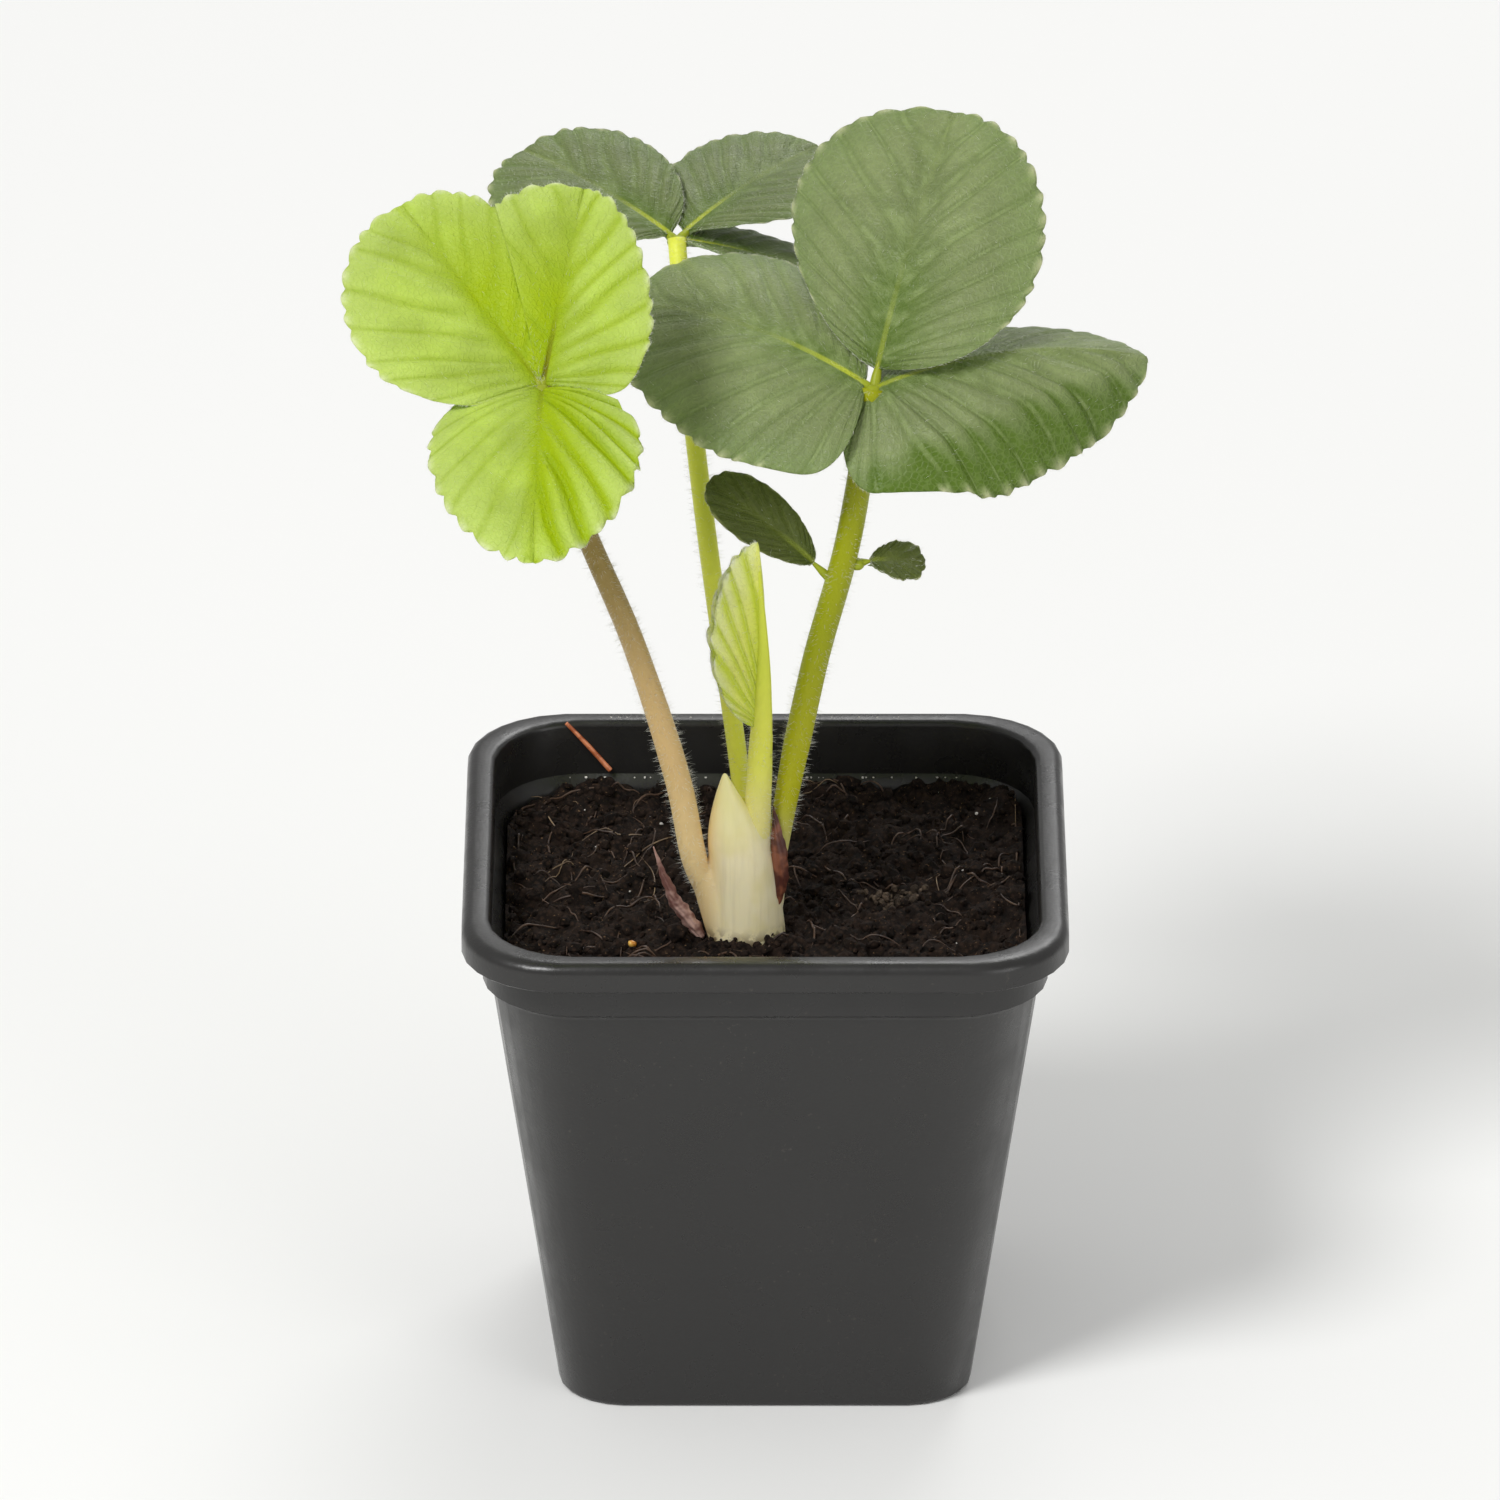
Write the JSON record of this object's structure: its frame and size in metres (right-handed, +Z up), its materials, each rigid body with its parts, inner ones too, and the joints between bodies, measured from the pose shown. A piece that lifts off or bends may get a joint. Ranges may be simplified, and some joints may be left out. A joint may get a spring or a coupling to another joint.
{
  "type": "potted strawberry plant",
  "caption": "Young strawberry plant with toothed three-part leaves on hairy stalks, in a square black plastic nursery pot of compost.",
  "frame": {"origin": "middle of the pot's flat underside, on the surface it stands on", "axes": "+Z up, +Y away from the front, +X to the right as seen from the front"},
  "size_m": [0.12, 0.1196, 0.1878],
  "materials": {
    "pot_plastic": "charcoal black moulded plastic, satin, lightly dusty",
    "compost": "damp dark peat compost, crumbly",
    "crown_flesh": "pale cream plant stem, slightly waxy",
    "tan_stalk": "tan hairy leaf stalk",
    "green_stalk": "yellow-green hairy leaf stalk",
    "dark_leaf": "dark grey-green leaf with impressed veins, soft sheen",
    "young_leaf": "light yellow-green leaf, soft sheen",
    "new_leaf": "light green folded leaf with silvery hairs",
    "small_leaf": "dark green small leaflet",
    "dry_sheath": "dry papery red-brown sheath",
    "pink_scale": "pink fleshy bud scale"
  },
  "bodies": {
    "root": {"pot": "pot_plastic", "compost": "compost", "crown": "crown_flesh", "left_leaf_stalk": "tan_stalk", "right_leaf_stalk": "green_stalk", "back_leaf_stalk": "green_stalk", "new_leaf_stalk": "green_stalk", "right_leaf": "dark_leaf", "left_leaf": "young_leaf", "back_leaf": "dark_leaf", "new_leaf": "new_leaf", "extra_leaflet_left": "small_leaf", "extra_leaflet_right": "small_leaf", "dry_sheath": "dry_sheath", "pink_scale": "pink_scale"}
  },
  "joints": []
}
